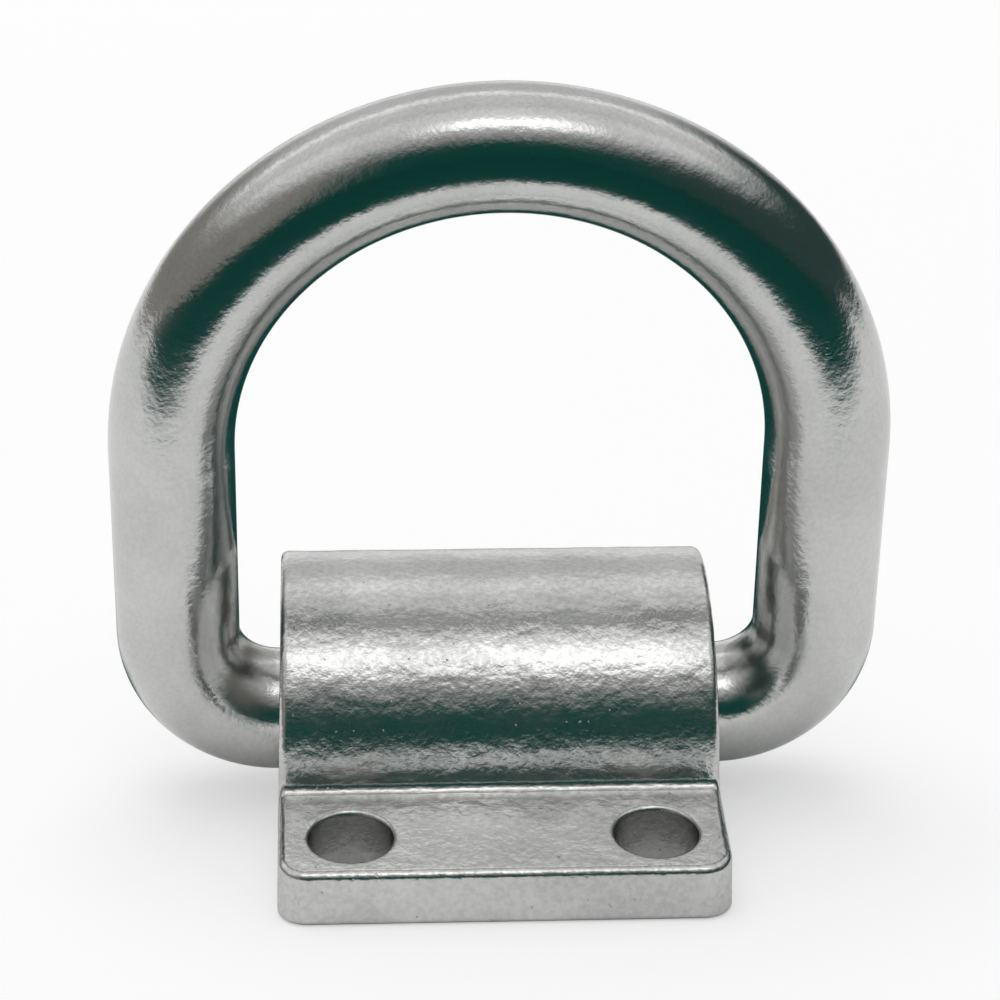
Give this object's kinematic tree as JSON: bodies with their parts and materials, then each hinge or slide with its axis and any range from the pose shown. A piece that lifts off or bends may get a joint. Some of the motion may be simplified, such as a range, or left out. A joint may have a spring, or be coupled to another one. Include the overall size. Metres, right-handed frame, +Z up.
{
  "type": "pad eye",
  "caption": "Folding pad eye: a thick D-ring swings in the barrel of a cast saddle that bolts flat to a deck.",
  "frame": {"origin": "centre of the saddle's underside, on the deck", "axes": "+Z up off the deck, X along the hinge bar, -Y towards the side the ring leans to"},
  "size_m": [0.0622, 0.0482, 0.0627],
  "materials": {
    "cast_stainless": "fine cast skin, tumbled bright",
    "polished_stainless": "satin to mirror polish"
  },
  "bodies": {
    "base": {"saddle": "cast_stainless"},
    "ring": {"d_ring": "polished_stainless"}
  },
  "joints": [
    {"name": "ring_swing", "type": "hinge", "parent": "base", "child": "ring", "pos_m": [0, 0, 0.00738], "axis": [1, 0, 0], "range_deg": [-101.5, 83.5]}
  ]
}
